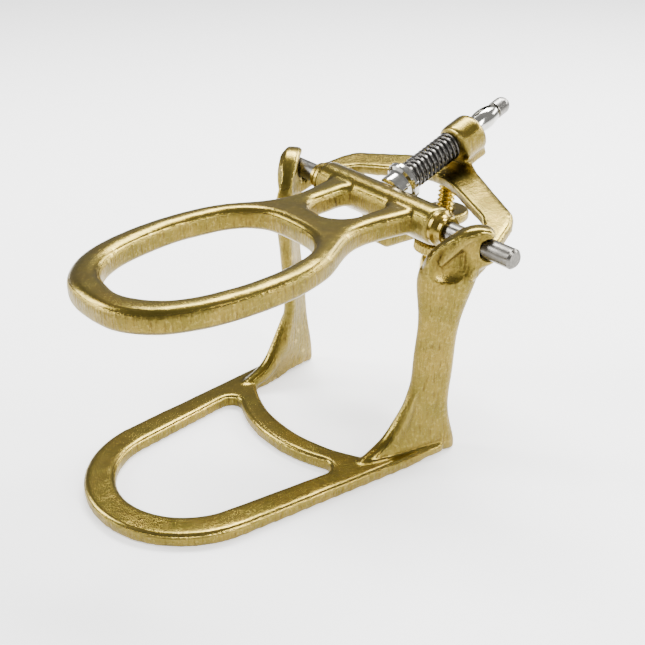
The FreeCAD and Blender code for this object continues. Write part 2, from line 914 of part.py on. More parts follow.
fill_sheet()
yoke_blank = make_yoke()
check_and_write([
    make_lower_frame(yoke_blank),
    make_boss(yoke_blank),
    make_upper_frame(),
    make_bush("left_bush", -1),
    make_bush("right_bush", 1),
    make_axle(),
    make_head(),
    make_pin(),
    make_spring(),
    make_cage(),
    make_stop_screw(),
    make_lock_nut(),
])
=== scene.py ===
"""Dental articulator: filed brass castings, spring plunger, cross axle and stop screw."""

import json
import logging
import math
from dataclasses import dataclass
from enum import Enum
from typing import Callable, Optional, Sequence, Union

import bmesh
import bpy
from mathutils import Matrix, Vector

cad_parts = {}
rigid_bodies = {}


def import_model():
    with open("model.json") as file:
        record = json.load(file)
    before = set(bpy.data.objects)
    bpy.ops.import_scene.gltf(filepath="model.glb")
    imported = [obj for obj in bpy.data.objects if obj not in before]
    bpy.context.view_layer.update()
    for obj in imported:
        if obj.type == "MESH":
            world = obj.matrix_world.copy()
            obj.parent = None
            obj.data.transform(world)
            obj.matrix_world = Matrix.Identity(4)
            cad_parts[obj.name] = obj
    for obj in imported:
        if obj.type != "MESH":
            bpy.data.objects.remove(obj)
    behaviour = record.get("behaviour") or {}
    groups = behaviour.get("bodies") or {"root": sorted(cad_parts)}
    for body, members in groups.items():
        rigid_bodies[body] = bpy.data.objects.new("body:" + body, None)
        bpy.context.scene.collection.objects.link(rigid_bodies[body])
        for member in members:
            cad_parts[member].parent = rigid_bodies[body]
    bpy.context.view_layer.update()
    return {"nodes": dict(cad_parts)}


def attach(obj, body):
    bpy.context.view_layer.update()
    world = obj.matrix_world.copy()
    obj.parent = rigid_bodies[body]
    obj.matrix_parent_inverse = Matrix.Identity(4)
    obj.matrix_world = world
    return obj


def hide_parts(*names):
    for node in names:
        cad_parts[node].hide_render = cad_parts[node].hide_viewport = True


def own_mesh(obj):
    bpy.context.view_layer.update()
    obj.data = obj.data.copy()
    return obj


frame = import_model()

LOG = logging.getLogger("articulator")
MM = 0.001
# Points closer than this, in metres, are one point.
MERGE = 1e-7
# Radii below this count as the axis.
TINY = 1e-6
# A wave's pitch in metres, so long that its grooves run straight.
STRAIGHT = 1e3

Triple = tuple[float, float, float]
Colour = tuple[float, float, float]
Tint = tuple[float, float, float, float]
Span = tuple[float, float]
Profile = Sequence[tuple[float, float]]
Socket = bpy.types.NodeSocket


class Body(Enum):
    """Rigid bodies that the new pieces ride on."""

    LOWER = "lower"
    UPPER = "upper"
    SCREW = "screw"
    NUT = "nut"


class Slot(Enum):
    """Finish slots of the new pieces."""

    CAST = "cast_brass"
    SCREW = "screw_brass"
    SPRING = "spring_steel"


# ---------------------------------------------------------------- node trees


class Graph:
    """Short-hand for building a node tree."""

    def __init__(self, tree: bpy.types.NodeTree) -> None:
        """Keep the tree.

        Args:
            tree: The node tree to build in.
        """
        self.tree = tree

    def add(
        self, kind: str, inputs: Optional[dict] = None, **settings: Union[str, float]
    ) -> bpy.types.Node:
        """Add a node, set its properties, and set or link its inputs.

        Args:
            kind: The node's type name.
            inputs: Socket name or number to a value or an output socket.
            **settings: Properties of the node.

        Returns:
            The new node.
        """
        node = self.tree.nodes.new(kind)
        for name, value in settings.items():
            setattr(node, name, value)
        for key, value in (inputs or {}).items():
            if isinstance(value, Socket):
                self.tree.links.new(value, node.inputs[key])
            else:
                node.inputs[key].default_value = value
        return node

    def maths(self, operation: str, *values: Union[float, Socket]) -> Socket:
        """Work out a number.

        Args:
            operation: The Math node's operation.
            *values: Its inputs in order.

        Returns:
            The output socket.
        """
        node = self.add("ShaderNodeMath", dict(enumerate(values)), operation=operation)
        return node.outputs[0]


class ShaderGraph(Graph):
    """A material's node tree."""

    def spread(self, value: Socket, span: Span, ends: Span = (0.0, 1.0)) -> Socket:
        """Stretch a number's range, clamped.

        Args:
            value: The socket to stretch.
            span: Inputs that give the two ends.
            ends: The outputs at those inputs.

        Returns:
            The output socket.
        """
        inputs = dict(enumerate((value, *span, *ends)))
        return self.add("ShaderNodeMapRange", inputs).outputs[0]

    def noise(self, place: Socket, scale: float, detail: float, rough: float) -> Socket:
        """Sample noise at a place.

        Args:
            place: The vector socket to read.
            scale: Waves per metre.
            detail: Octaves.
            rough: Weight of the finer octaves.

        Returns:
            The output socket.
        """
        inputs = {"Vector": place, "Scale": scale, "Detail": detail, "Roughness": rough}
        return self.add("ShaderNodeTexNoise", inputs).outputs[0]

    def stretched(self, place: Socket, factors: Triple) -> Socket:
        """Scale a place along each axis, to draw a pattern out into streaks.

        Args:
            place: The vector socket to read.
            factors: Scale along X, Y and Z.

        Returns:
            The output socket.
        """
        node = self.add("ShaderNodeMapping", {"Vector": place, "Scale": factors})
        return node.outputs[0]

    def blend(
        self, factor: Socket, first: Union[Tint, Socket], second: Union[Tint, Socket]
    ) -> Socket:
        """Mix two colours.

        Args:
            factor: Share of the second.
            first: First colour, as a socket or four numbers.
            second: Second colour, as a socket or four numbers.

        Returns:
            The output socket.
        """
        inputs = {0: factor, 6: first, 7: second}
        return self.add("ShaderNodeMix", inputs, data_type="RGBA").outputs[2]

    def bump(
        self, height: Socket, distance: float, strength: float, normal: Optional[Socket] = None
    ) -> Socket:
        """Bump a surface by a height.

        Args:
            height: The height socket.
            distance: Depth in metres.
            strength: Share of the effect.
            normal: A bump to stand on, if any.

        Returns:
            The normal socket.
        """
        inputs = {"Height": height, "Distance": distance, "Strength": strength}
        if normal is not None:
            inputs["Normal"] = normal
        return self.add("ShaderNodeBump", inputs).outputs[0]


def rgba(colour: Colour) -> Tint:
    """Give a colour full alpha.

    Args:
        colour: Red, green and blue.

    Returns:
        The colour and its alpha.
    """
    return (*colour, 1.0)


def start_material(name: str) -> tuple[bpy.types.Material, ShaderGraph, bpy.types.Node]:
    """Start a material with its shader.

    Args:
        name: The material's name.

    Returns:
        The material, its graph and its Principled node.
    """
    material = bpy.data.materials.new(name)
    material.use_nodes = True
    shader = material.node_tree.nodes["Principled BSDF"]
    return material, ShaderGraph(material.node_tree), shader


def wire_up(
    graph: ShaderGraph,
    shader: bpy.types.Node,
    colour: Socket,
    roughness: Socket,
    normal: Socket,
) -> None:
    """Link the three worked-out inputs of a metal.

    Args:
        graph: The material's graph.
        shader: Its Principled node.
        colour: Base colour socket.
        roughness: Roughness socket.
        normal: Normal socket.
    """
    shader.inputs["Metallic"].default_value = 1.0
    graph.tree.links.new(colour, shader.inputs["Base Color"])
    graph.tree.links.new(roughness, shader.inputs["Roughness"])
    graph.tree.links.new(normal, shader.inputs["Normal"])


@dataclass(frozen=True)
class CastBrass:
    """Cast brass, hand filed: satin tops, filed walls, brown painted shade in the recesses,
    rubbed edges.
    """

    name: str = "cast_brass"
    body: Colour = (0.225, 0.160, 0.030)
    green: Colour = (0.155, 0.120, 0.022)
    pale: Colour = (0.520, 0.400, 0.110)
    brown: Colour = (0.070, 0.040, 0.010)
    smooth: float = 0.20
    rough: float = 0.40
    grain_scale: float = 2600.0
    pit_scale: float = 1150.0
    cloud_scale: float = 130.0
    file_scale: float = 1500.0
    file_depth: float = 0.00050
    grain_depth: float = 0.00004
    file_draw: Triple = (1.0, 1.0, 0.16)
    wall_slope: Span = (0.25, 0.62)
    edge_span: Span = (0.505, 0.56)
    recess_span: Span = (0.497, 0.46)
    cloud_span: Span = (0.35, 0.65)
    speck_span: Span = (0.52, 0.66)
    scratch_span: Span = (0.30, 0.46)
    rough_span: Span = (0.2, 1.6)
    speck_share: Span = (0.14, 0.30)
    pit_share: Span = (0.12, 1.0)
    cloud_share: float = 0.8
    stain_and_shade_share: float = 0.65
    edge_share: float = 0.5

    def make(self) -> bpy.types.Material:
        """Build the material.

        Returns:
            The material.
        """
        material, graph, shader = start_material(self.name)
        coordinate = graph.add("ShaderNodeTexCoord")
        place = coordinate.outputs["Object"]
        facing = graph.add("ShaderNodeSeparateXYZ", {0: coordinate.outputs["Normal"]})
        steep = graph.maths("ABSOLUTE", facing.outputs["Z"])
        wall = graph.spread(steep, self.wall_slope, (1.0, 0.0))
        clouds = graph.noise(place, self.cloud_scale, 4.0, 0.6)
        grain = graph.noise(place, self.grain_scale, 2.0, 0.6)
        pits = graph.noise(place, self.pit_scale, 5.0, 0.65)
        files = graph.noise(graph.stretched(place, self.file_draw), self.file_scale, 4.0, 0.55)
        tone = self.tone(graph, wall, clouds, pits, files)
        mixed = graph.maths("ADD", wall, graph.maths("MULTIPLY", clouds, self.cloud_share))
        roughness = graph.spread(mixed, self.rough_span, (self.smooth, self.rough))
        normal = graph.bump(grain, self.grain_depth, 0.5)
        normal = graph.bump(graph.maths("MULTIPLY", files, wall), self.file_depth, 0.9, normal)
        sunk = graph.maths("MULTIPLY", pits, graph.spread(wall, (0.0, 1.0), self.pit_share))
        normal = graph.bump(sunk, self.file_depth, 0.7, normal)
        wire_up(graph, shader, tone, roughness, normal)
        return material

    def tone(
        self, graph: ShaderGraph, wall: Socket, clouds: Socket, pits: Socket, files: Socket
    ) -> Socket:
        """Layer the colours: clouded body, pale specks, stains in the file marks, brown painted
        shade in the recesses, rubbed edges.

        Args:
            graph: The material's graph.
            wall: Socket that is 1 on upright faces and 0 on level ones.
            clouds: Broad noise.
            pits: Fine noise.
            files: Noise drawn out into file marks.

        Returns:
            The colour socket.
        """
        convex = graph.add("ShaderNodeNewGeometry").outputs["Pointiness"]
        edge = graph.spread(convex, self.edge_span)
        recess = graph.spread(convex, self.recess_span)
        tone = graph.blend(
            graph.spread(clouds, self.cloud_span), rgba(self.body), rgba(self.green)
        )
        share = graph.spread(wall, (0.0, 1.0), self.speck_share)
        speck = graph.maths("MULTIPLY", graph.spread(pits, self.speck_span), share)
        tone = graph.blend(speck, tone, rgba(self.pale))
        scratch = graph.spread(files, self.scratch_span, (1.0, 0.0))
        worn = graph.maths("MULTIPLY", wall, self.stain_and_shade_share)
        tone = graph.blend(graph.maths("MULTIPLY", scratch, worn), tone, rgba(self.brown))
        # Painted shade: concave places, found by pointiness, darken towards the brown colour.
        hollow_shade = graph.maths("MULTIPLY", recess, self.stain_and_shade_share)
        tone = graph.blend(hollow_shade, tone, rgba(self.brown))
        rubbed = graph.maths("MULTIPLY", edge, self.edge_share)
        return graph.blend(rubbed, tone, rgba(self.pale))


@dataclass(frozen=True)
class TurnedMetal:
    """A turned or drawn metal with fine marks, soft clouding and painted shade in its recesses.
    """

    name: str
    body: Colour
    shade: Colour
    smooth: float
    rough: float
    along: Triple
    mark_scale: float = 1800.0
    mark_depth: float = 0.00003
    cloud_scale: float = 260.0
    recess_span: Span = (0.495, 0.45)
    recess_share: float = 0.7
    recess_shade: float = 0.35
    tone_span: Span = (0.38, 0.62)
    rough_span: Span = (0.35, 0.65)

    def make(self) -> bpy.types.Material:
        """Build the material.

        Returns:
            The material.
        """
        material, graph, shader = start_material(self.name)
        place = graph.add("ShaderNodeTexCoord").outputs["Object"]
        marks = graph.noise(graph.stretched(place, self.along), self.mark_scale, 3.0, 0.6)
        clouds = graph.noise(place, self.cloud_scale, 4.0, 0.6)
        convex = graph.add("ShaderNodeNewGeometry").outputs["Pointiness"]
        # Painted shade: concave places, found by pointiness, darken towards a dark copy of the
        # shade colour.
        recess = graph.spread(convex, self.recess_span, (0.0, self.recess_share))
        mixed = graph.maths("MULTIPLY", graph.maths("ADD", marks, clouds), 0.5)
        tone = graph.blend(
            graph.spread(mixed, self.tone_span), rgba(self.body), rgba(self.shade)
        )
        dark = tuple(part * self.recess_shade for part in self.shade)
        tone = graph.blend(recess, tone, rgba(dark))
        roughness = graph.spread(mixed, self.rough_span, (self.smooth, self.rough))
        wire_up(graph, shader, tone, roughness, graph.bump(marks, self.mark_depth, 0.5))
        return material


@dataclass(frozen=True)
class Finishes:
    """Every finish of the object."""

    cast: CastBrass = CastBrass()
    turned: TurnedMetal = TurnedMetal(
        "turned_brass", (0.27, 0.19, 0.038), (0.19, 0.14, 0.028), 0.17, 0.34, (0.25, 1.0, 1.0)
    )
    screw: TurnedMetal = TurnedMetal(
        "screw_brass", (0.50, 0.35, 0.045), (0.36, 0.25, 0.030), 0.16, 0.32, (1.0, 1.0, 0.4)
    )
    knurl: TurnedMetal = TurnedMetal(
        "nut_brass", (0.40, 0.30, 0.070), (0.29, 0.21, 0.046), 0.18, 0.34, (1.0, 1.0, 0.3)
    )
    steel: TurnedMetal = TurnedMetal(
        "axle_steel", (0.185, 0.175, 0.155), (0.10, 0.095, 0.083), 0.22, 0.40, (0.12, 1.0, 1.0)
    )
    spring: TurnedMetal = TurnedMetal(
        "spring_wire", (0.085, 0.08, 0.072), (0.04, 0.038, 0.035), 0.20, 0.36, (1.0, 1.0, 1.0)
    )
    nickel: TurnedMetal = TurnedMetal(
        "bright_nickel", (0.56, 0.55, 0.51), (0.42, 0.41, 0.37), 0.07, 0.19, (1.0, 0.4, 0.4)
    )
    nose: TurnedMetal = TurnedMetal(
        "worn_nickel", (0.27, 0.26, 0.24), (0.18, 0.17, 0.155), 0.24, 0.40, (1.0, 0.5, 0.5)
    )


# ---------------------------------------------------------------- mesh helpers


def link(name: str, mesh: bpy.types.Mesh) -> bpy.types.Object:
    """Put a mesh in the scene as an object at the origin.

    Args:
        name: The object's name.
        mesh: Its mesh.

    Returns:
        The object.
    """
    piece = bpy.data.objects.new(name, mesh)
    bpy.context.scene.collection.objects.link(piece)
    return piece


def dress(piece: bpy.types.Object, *materials: bpy.types.Material) -> None:
    """Give a piece its materials and smooth shading.

    Args:
        piece: The object.
        *materials: Materials in slot order.
    """
    piece.data.materials.clear()
    for material in materials:
        piece.data.materials.append(material)
    piece.data.polygons.foreach_set("use_smooth", [True] * len(piece.data.polygons))


def baked(piece: bpy.types.Object) -> None:
    """Turn a piece and its modifiers into a plain mesh.

    Args:
        piece: The object.
    """
    graph = bpy.context.evaluated_depsgraph_get()
    graph.update()
    mesh = bpy.data.meshes.new_from_object(piece.evaluated_get(graph))
    piece.modifiers.clear()
    piece.data = mesh


def copied(name: str, nodes: Sequence[str]) -> bpy.types.Object:
    """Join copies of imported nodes, with their doubles merged.

    Args:
        name: Name of the new object.
        nodes: Names of the nodes.

    Returns:
        The new object.
    """
    work = bmesh.new()
    for node in nodes:
        work.from_mesh(frame["nodes"][node].data)
    bmesh.ops.remove_doubles(work, verts=work.verts, dist=MERGE)
    mesh = bpy.data.meshes.new(name)
    work.to_mesh(mesh)
    work.free()
    return link(name, mesh)


def lathe(name: str, profile: Profile, steps: int) -> bpy.types.Mesh:
    """Turn a closed profile about the Z axis.

    Args:
        name: Name of the mesh.
        profile: Radius and height pairs in millimetres, from axis to axis.
        steps: Faces round the axis.

    Returns:
        The mesh, with outward faces.
    """
    work = bmesh.new()
    rings = []
    turns = [2 * math.pi * k / steps for k in range(steps)]
    for radius, height in profile:
        if radius < TINY:
            rings.append([work.verts.new((0, 0, height * MM))])
            continue
        rings.append([
            work.verts.new((radius * MM * math.cos(a), radius * MM * math.sin(a), height * MM))
            for a in turns
        ])
    for low, high in zip(rings, rings[1:]):
        for k in range(steps):
            after = (k + 1) % steps
            if len(low) == 1:
                work.faces.new((low[0], high[after], high[k]))
            elif len(high) == 1:
                work.faces.new((low[k], low[after], high[0]))
            else:
                work.faces.new((low[k], low[after], high[after], high[k]))
    bmesh.ops.recalc_face_normals(work, faces=work.faces)
    mesh = bpy.data.meshes.new(name)
    work.to_mesh(mesh)
    work.free()
    return mesh


def axis_place(foot: Sequence[float], axis: Sequence[float]) -> Matrix:
    """Matrix that stands local Z along an axis through a foot.

    Args:
        foot: The foot in millimetres.
        axis: The direction.

    Returns:
        The matrix, in metres.
    """
    turn = Vector((0, 0, 1)).rotation_difference(Vector(axis).normalized())
    return Matrix.Translation(Vector(foot) * MM) @ turn.to_matrix().to_4x4()


# ---------------------------------------------------------------- geometry nodes


class GeometryTree(Graph):
    """A geometry node tree with named number inputs and one geometry output."""

    def __init__(self, name: str, sizes: dict[str, float], takes_mesh: bool) -> None:
        """Make the group, its sockets and its group nodes.

        Args:
            name: The tree's name.
            sizes: Named inputs and their values.
            takes_mesh: True if the tree changes the object's own mesh.
        """
        super().__init__(bpy.data.node_groups.new(name, "GeometryNodeTree"))
        self.sizes = sizes
        face = self.tree.interface
        face.new_socket("Geometry", in_out="OUTPUT", socket_type="NodeSocketGeometry")
        if takes_mesh:
            face.new_socket("Geometry", in_out="INPUT", socket_type="NodeSocketGeometry")
        for key in sizes:
            face.new_socket(key, in_out="INPUT", socket_type="NodeSocketFloat")
        self.given = self.add("NodeGroupInput").outputs

    def finish(self, geometry: Socket, material: bpy.types.Material) -> None:
        """End the tree in Realize Instances and Set Material.

        Args:
            geometry: The geometry socket.
            material: The material to set.
        """
        real = self.add("GeometryNodeRealizeInstances", {0: geometry})
        dressed = self.add(
            "GeometryNodeSetMaterial", {"Geometry": real.outputs[0], "Material": material}
        )
        self.add("NodeGroupOutput", {0: dressed.outputs[0]})

    def run(self, piece: bpy.types.Object) -> None:
        """Run the tree on a piece and keep the result as its mesh.

        Args:
            piece: The object.
        """
        modifier = piece.modifiers.new(self.tree.name, "NODES")
        modifier.node_group = self.tree
        for item in self.tree.interface.items_tree:
            if item.in_out == "INPUT" and item.name in self.sizes:
                modifier[item.identifier] = float(self.sizes[item.name])
        baked(piece)


def waved_side(
    name: str, sizes: dict[str, float], material: bpy.types.Material
) -> GeometryTree:
    """Tree that cuts a helical or straight wave into the side of a turned piece.

    The sizes are Side, the radius past which a point is on the side; Depth of the wave;
    Waves, how many run round the axis; Pitch along the axis, or STRAIGHT for flutes; and
    Low, High and Fade, the stretch of the axis that the wave covers.

    Args:
        name: The tree's name.
        sizes: The named inputs.
        material: The piece's material.

    Returns:
        The tree.
    """
    tree = GeometryTree(name, sizes, True)
    given = tree.given
    at = tree.add(
        "ShaderNodeSeparateXYZ", {0: tree.add("GeometryNodeInputPosition").outputs[0]}
    ).outputs
    squares = [tree.maths("MULTIPLY", at[k], at[k]) for k in (0, 1)]
    radius = tree.maths("SQRT", tree.maths("ADD", *squares))
    turns = tree.maths("DIVIDE", tree.maths("ARCTAN2", at[1], at[0]), 2 * math.pi)
    climb = tree.maths("DIVIDE", at[2], given["Pitch"])
    phase = tree.maths("SUBTRACT", tree.maths("MULTIPLY", turns, given["Waves"]), climb)
    wave = tree.maths("PINGPONG", phase, 0.5)
    inside = tree.maths("GREATER_THAN", radius, given["Side"])
    above = tree.maths("DIVIDE", tree.maths("SUBTRACT", at[2], given["Low"]), given["Fade"])
    below = tree.maths("DIVIDE", tree.maths("SUBTRACT", given["High"], at[2]), given["Fade"])
    ends = tree.maths("MINIMUM", tree.maths("MINIMUM", above, below), 1.0)
    reach = tree.maths("MAXIMUM", ends, 0.0)
    depth = tree.maths("MULTIPLY", tree.maths("MULTIPLY", wave, given["Depth"]), 2.0)
    cut = tree.maths("MULTIPLY", tree.maths("MULTIPLY", depth, inside), reach)
    safe = tree.maths("MAXIMUM", radius, TINY)
    factor = tree.maths("SUBTRACT", 1.0, tree.maths("DIVIDE", cut, safe))
    drawn = [tree.maths("MULTIPLY", at[k], factor) for k in (0, 1)]
    moved = tree.add("ShaderNodeCombineXYZ", {0: drawn[0], 1: drawn[1], 2: at[2]})
    shaped = tree.add(
        "GeometryNodeSetPosition",
        {"Geometry": given["Geometry"], "Position": moved.outputs[0]},
    )
    tree.finish(shaped.outputs[0], material)
    return tree


COIL_STEPS = 44
WIRE_SIDES = 12


def coil_tree(
    name: str, sizes: dict[str, float], place: Matrix, material: bpy.types.Material
) -> GeometryTree:
    """Tree that winds a round wire into a coil.

    Args:
        name: The tree's name.
        sizes: Turns, Radius, Wire and Height.
        place: Where the coil's foot and axis are.
        material: The wire's material.

    Returns:
        The tree.
    """
    tree = GeometryTree(name, sizes, False)
    given = tree.given
    helix = tree.add(
        "GeometryNodeCurveSpiral",
        {
            "Resolution": COIL_STEPS,
            "Rotations": given["Turns"],
            "Start Radius": given["Radius"],
            "End Radius": given["Radius"],
            "Height": given["Height"],
        },
    )
    ring = tree.add(
        "GeometryNodeCurvePrimitiveCircle",
        {"Resolution": WIRE_SIDES, "Radius": given["Wire"]},
    )
    wire = tree.add(
        "GeometryNodeCurveToMesh",
        {"Curve": helix.outputs[0], "Profile Curve": ring.outputs[0], "Fill Caps": True},
    )
    turn = place.to_euler()
    stood = tree.add(
        "GeometryNodeTransform",
        {"Geometry": wire.outputs[0], "Translation": place.to_translation(), "Rotation": turn},
    )
    tree.finish(stood.outputs[0], material)
    return tree


# ---------------------------------------------------------------- sub-assemblies


def report(piece: bpy.types.Object, body: Body) -> None:
    """Log a finished piece.

    Args:
        piece: The object.
        body: The body that it rides on.
    """
    LOG.info("%s on %s: %d faces", piece.name, body.value, len(piece.data.polygons))


@dataclass(frozen=True)
class Rib:
    """Round rib or fillet that swells out of a casting, on both sides of the middle.

    The path is in millimetres. At its two ends the radius falls to its taper share.
    """

    path: tuple[Triple, ...]
    radius: float
    taper: float = 0.45
    roundness: int = 4
    samples: int = 12

    def join(self, piece: bpy.types.Object) -> None:
        """Add the rib and its mirror image to a piece's mesh.

        Args:
            piece: The object.
        """
        curve = bpy.data.curves.new("rib", "CURVE")
        curve.dimensions = "3D"
        curve.bevel_depth = self.radius * MM
        curve.bevel_resolution = self.roundness
        curve.resolution_u = self.samples
        curve.use_fill_caps = True
        for side in (1, -1):
            spline = curve.splines.new("NURBS")
            spline.points.add(len(self.path) - 1)
            spline.order_u = 3
            spline.use_endpoint_u = True
            for point, (across, back, up) in zip(spline.points, self.path):
                point.co = (side * across * MM, back * MM, up * MM, 1)
            for end in (spline.points[0], spline.points[-1]):
                end.radius = self.taper
        holder = bpy.data.objects.new("rib", curve)
        mesh = bpy.data.meshes.new_from_object(holder)
        work = bmesh.new()
        work.from_mesh(piece.data)
        work.from_mesh(mesh)
        work.to_mesh(piece.data)
        work.free()
        for made in (holder, curve, mesh):
            bpy.data.batch_remove([made])


HOOK_FINGER = Rib(
    path=(
        (31.0, 26.0, 55.0), (32.3, 27.5, 58.2), (34.1, 29.7, 61.3),
        (35.9, 31.8, 63.0), (37.5, 33.7, 63.3),
    ),
    radius=1.6,
)
HEEL_SWEEP = Rib(
    path=(
        (24.9, 5.0, 1.9), (25.0, 12.0, 2.9), (25.4, 17.0, 5.6),
        (26.0, 21.0, 11.0), (26.8, 24.0, 19.0),
    ),
    radius=2.3,
)


@dataclass
class Casting:
    """One casting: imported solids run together, softened and dressed."""

    name: str
    nodes: tuple[str, ...]
    body: Body
    voxel: float
    soften: int
    waviness: float = 0.10
    wave_length: float = 9.0
    ribs: tuple[Rib, ...] = ()

    def build(self, finish: CastBrass) -> bpy.types.Object:
        """Run the solids together, soften every junction and dress the result.

        Args:
            finish: The casting's finish.

        Returns:
            The piece.
        """
        piece = copied(self.name, self.nodes)
        for rib in self.ribs:
            rib.join(piece)
        skin = piece.modifiers.new("skin", "REMESH")
        skin.mode = "VOXEL"
        skin.voxel_size = self.voxel * MM
        soft = piece.modifiers.new("soft", "SMOOTH")
        soft.factor = 0.5
        soft.iterations = self.soften
        baked(piece)
        self.ripple(piece)
        dress(piece, finish.make())
        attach(piece, self.body.value)
        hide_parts(*self.nodes)
        report(piece, self.body)
        return piece

    def ripple(self, piece: bpy.types.Object) -> None:
        """Move the skin in and out a little, as hand filing leaves it.

        Args:
            piece: The object.
        """
        texture = bpy.data.textures.new(self.name + "_ripple", "CLOUDS")
        texture.noise_scale = self.wave_length * MM
        texture.noise_depth = 2
        wave = piece.modifiers.new("ripple", "DISPLACE")
        wave.texture = texture
        wave.texture_coords = "LOCAL"
        wave.mid_level = 0.5
        wave.strength = self.waviness * MM * 2
        baked(piece)
        bpy.data.textures.remove(texture)


@dataclass
class PlungerParts:
    """Spring plunger behind the hinge: saddle head, pin, leaf cage and coil."""

    hinge: Triple = (0.0, 35.0, 59.4)
    tilt: float = 20.5
    lift: float = 0.9
    spring_start: float = 9.6
    spring_end: float = 26.95
    spring_radius: float = 3.4
    wire: float = 0.43
    turns: float = 11.5
    float_travel: float = 3.0

    def axis(self) -> Vector:
        """Work out the direction of the plunger, pointing back.

        Returns:
            The direction.
        """
        tilt = math.radians(self.tilt)
        return Vector((0, math.cos(tilt), math.sin(tilt)))

    def point(self, along: float) -> Vector:
        """Point on the plunger's axis, in millimetres.

        Args:
            along: Distance back from the hinge.

        Returns:
            The point.
        """
        tilt = math.radians(self.tilt)
        base = Vector(self.hinge) + Vector((0, -math.sin(tilt), math.cos(tilt))) * self.lift
        return base + self.axis() * along

    def build(self, finishes: Finishes) -> None:
        """Wind the spring and dress the nickel pieces.

        Args:
            finishes: The finishes.
        """
        nickel = finishes.nickel.make()
        worn = finishes.nose.make()
        for node, material in (
            ("plunger_head", nickel), ("leaf_cage", nickel), ("plunger_pin", worn)
        ):
            dress(frame["nodes"][node], material)
        self.build_spring(finishes.spring.make())

    def build_spring(self, material: bpy.types.Material) -> None:
        """Wind the coil spring.

        Args:
            material: The wire's material.
        """
        length = self.spring_end - self.spring_start - 2 * self.wire
        sizes = {
            "Turns": self.turns,
            "Radius": self.spring_radius * MM,
            "Wire": self.wire * MM,
            "Height": length * MM,
        }
        place = axis_place(self.point(self.spring_start + self.wire), self.axis())
        spring = link("coil_spring", bpy.data.meshes.new("coil_spring"))
        coil_tree("wound wire", sizes, place, material).run(spring)
        dress(spring, material)
        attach(spring, Body.LOWER.value)
        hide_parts("plunger_spring")
        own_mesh(spring)
        report(spring, Body.LOWER)


